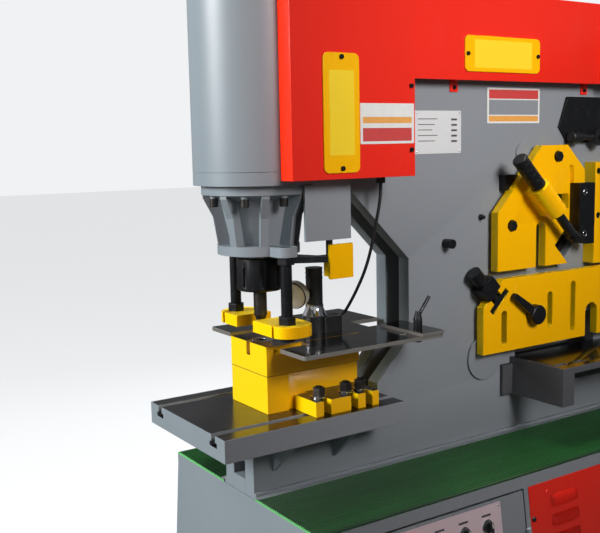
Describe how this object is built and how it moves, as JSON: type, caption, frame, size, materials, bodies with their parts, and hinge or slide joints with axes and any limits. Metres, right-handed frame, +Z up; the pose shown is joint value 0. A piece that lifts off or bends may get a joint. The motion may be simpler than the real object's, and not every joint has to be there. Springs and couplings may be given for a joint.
{
  "type": "hydraulic ironworker",
  "caption": "Hydraulic ironworker: punching station with stripper and T-slotted die table, angle, bar and flat shears, notcher, leaning cabinet with louvres and control plate.",
  "frame": {"origin": "on the floor under the centre of the base cabinet", "axes": "+X along the machine from the punch to the notcher, -Y towards the operator, +Z up"},
  "size_m": [1.844, 0.85, 1.884],
  "materials": {
    "grey_paint": "semi-gloss enamel",
    "red_paint": "gloss enamel",
    "yellow_paint": "gloss enamel",
    "bright_steel": "ground and oiled",
    "black_steel": "black oxide",
    "tool_steel": "ground",
    "chrome": "polished",
    "mat_rubber": "ribbed",
    "cable_rubber": "smooth",
    "black_plastic": "satin",
    "red_plastic": "gloss",
    "white_plastic": "gloss",
    "panel_plate": "anodised",
    "lamp_enamel": "satin",
    "motor_paint": "satin"
  },
  "bodies": {
    "machine": {"base_cabinet": "grey_paint", "pump_motor": "motor_paint", "valve_block": "bright_steel", "electrical_panel": "panel_plate", "front_frame_plate": "grey_paint", "rear_frame_plate": "grey_paint", "frame_weldments": "grey_paint", "t_slot_table": "bright_steel", "die_block_lower": "yellow_paint", "die_block_upper": "yellow_paint", "die_insert": "tool_steel", "die_clamp_studs": "black_steel", "work_table": "bright_steel", "ribbed_mats": "mat_rubber", "punch_cylinder": "grey_paint", "lantern_casting": "grey_paint", "stripper_rods": "black_steel", "punch_cover": "red_paint", "access_plates": "yellow_paint", "switch_box": "grey_paint", "top_cover": "red_paint", "upper_guide_plate": "yellow_paint", "lower_guide_plate": "yellow_paint", "bar_guide_plate": "yellow_paint", "gib_block": "black_steel", "plate_screws": "black_steel", "shear_table": "grey_paint", "pivot_pins": "black_steel", "fixed_blades": "tool_steel", "shear_cylinder": "black_steel", "notch_table": "grey_paint", "vent_panel": "red_paint", "lamp_stand": "black_plastic", "lamp_cable": "cable_rubber"},
    "punch_ram": {"piston_rod": "chrome", "coupling_nut": "black_steel", "punch_tool": "tool_steel", "limit_rod": "black_steel", "striker_block": "yellow_paint"},
    "front_stripper": {"front_stripper_arm": "yellow_paint"},
    "rear_stripper": {"rear_stripper_arm": "yellow_paint"},
    "rocker": {"rocker_beam": "black_steel", "moving_blades": "tool_steel"},
    "shear_ram": {"shear_rod": "chrome"},
    "door": {"cabinet_door": "grey_paint", "control_plate": "panel_plate"},
    "start_push": {"start_button": "white_plastic"},
    "stop_push": {"stop_button": "red_plastic"},
    "selector_left": {"selector_1": "black_plastic"},
    "selector_middle": {"selector_2": "black_plastic"},
    "selector_right": {"selector_3": "black_plastic"},
    "lock": {"door_key": "chrome"},
    "end_lever": {"end_handle": "chrome"},
    "fence": {"table_fence": "bright_steel"},
    "fence_lever": {"table_clamp_lever": "black_steel"},
    "height_lever": {"height_knob": "black_steel"},
    "clamp_lever": {"upper_clamp_lever": "black_plastic"},
    "clamp_foot": {"hold_down_foot": "black_steel"},
    "clamp_screw": {"hold_down_screw": "black_steel"},
    "lamp": {"lamp_head": "lamp_enamel"}
  },
  "joints": [
    {"name": "punch_stroke", "type": "slide", "parent": "machine", "child": "punch_ram", "axis": [0, 0, -1], "range_m": [0, 0.045]},
    {"name": "front_stripper_swing", "type": "hinge", "parent": "machine", "child": "front_stripper", "pos_m": [-0.711, -0.119, 1.081], "axis": [0, 0, -1], "range_deg": [0, 110]},
    {"name": "rear_stripper_swing", "type": "hinge", "parent": "machine", "child": "rear_stripper", "pos_m": [-0.711, 0.119, 1.081], "axis": [0, 0, 1], "range_deg": [0, 110]},
    {"name": "beam_swing", "type": "hinge", "parent": "machine", "child": "rocker", "pos_m": [-0.035, 0, 0.91], "axis": [0, 1, 0], "range_deg": [0, 6]},
    {"name": "shear_stroke", "type": "slide", "parent": "machine", "child": "shear_ram", "axis": [0, 0, -1], "range_m": [0, 0.0635]},
    {"name": "door_swing", "type": "hinge", "parent": "machine", "child": "door", "pos_m": [-0.167, -0.37241, 0.44193], "axis": [0, 0.1327, 0.9912], "range_deg": [0, 100]},
    {"name": "start_press", "type": "slide", "parent": "door", "child": "start_push", "axis": [0, 0.9912, -0.1327], "range_m": [0, 0.005], "stiffness_N_per_m": 400, "springref_m": -0.002},
    {"name": "stop_press", "type": "slide", "parent": "door", "child": "stop_push", "axis": [0, 0.9912, -0.1327], "range_m": [0, 0.006]},
    {"name": "left_selector_turn", "type": "hinge", "parent": "door", "child": "selector_left", "pos_m": [-0.45, -0.35195, 0.58347], "axis": [0, -0.9912, 0.1327], "range_deg": [-45, 45]},
    {"name": "middle_selector_turn", "type": "hinge", "parent": "door", "child": "selector_middle", "pos_m": [-0.375, -0.35195, 0.58347], "axis": [0, -0.9912, 0.1327], "range_deg": [-45, 45]},
    {"name": "right_selector_turn", "type": "hinge", "parent": "door", "child": "selector_right", "pos_m": [-0.3, -0.35195, 0.58347], "axis": [0, -0.9912, 0.1327], "range_deg": [-45, 45]},
    {"name": "key_turn", "type": "hinge", "parent": "door", "child": "lock", "pos_m": [-0.668, -0.36265, 0.46585], "axis": [0, -0.9912, 0.1327], "range_deg": [0, 90]},
    {"name": "end_lever_turn", "type": "hinge", "parent": "machine", "child": "end_lever", "pos_m": [-0.8, -0.3, 0.432], "axis": [-1, 0, 0], "range_deg": [0, 60]},
    {"name": "fence_slide", "type": "slide", "parent": "machine", "child": "fence", "axis": [-1, 0, 0], "range_m": [0, 0.05]},
    {"name": "fence_lever_turn", "type": "hinge", "parent": "fence", "child": "fence_lever", "pos_m": [-0.363, -0.171, 1.05], "axis": [0, 0, 1], "range_deg": [-60, 60]},
    {"name": "height_lever_turn", "type": "hinge", "parent": "machine", "child": "height_lever", "pos_m": [0.12, -0.118, 1.018], "axis": [0, 1, 0], "range_deg": [-90, 90]},
    {"name": "clamp_lever_turn", "type": "hinge", "parent": "machine", "child": "clamp_lever", "pos_m": [0.395, -0.09, 1.51], "axis": [0, 1, 0], "range_deg": [0, 70]},
    {"name": "clamp_foot_slide", "type": "slide", "parent": "machine", "child": "clamp_foot", "axis": [-0.7071, 0, 0.7071], "range_m": [0, 0.025]},
    {"name": "clamp_screw_turn", "type": "hinge", "parent": "clamp_foot", "child": "clamp_screw", "pos_m": [0.1467, -0.147, 1.3217], "axis": [-0.7071, 0, 0.7071], "range_deg": [0, 2970]},
    {"name": "lamp_tilt", "type": "hinge", "parent": "machine", "child": "lamp", "pos_m": [-0.585, 0.004, 1.138], "axis": [1, 0, 0], "range_deg": [-15, 15]}
  ],
  "couplings": [
    {"joint": "shear_stroke", "follows": "beam_swing", "m_per_rad": 0.5986},
    {"joint": "clamp_foot_slide", "follows": "clamp_screw_turn", "m_per_rad": 0.00047746}
  ]
}
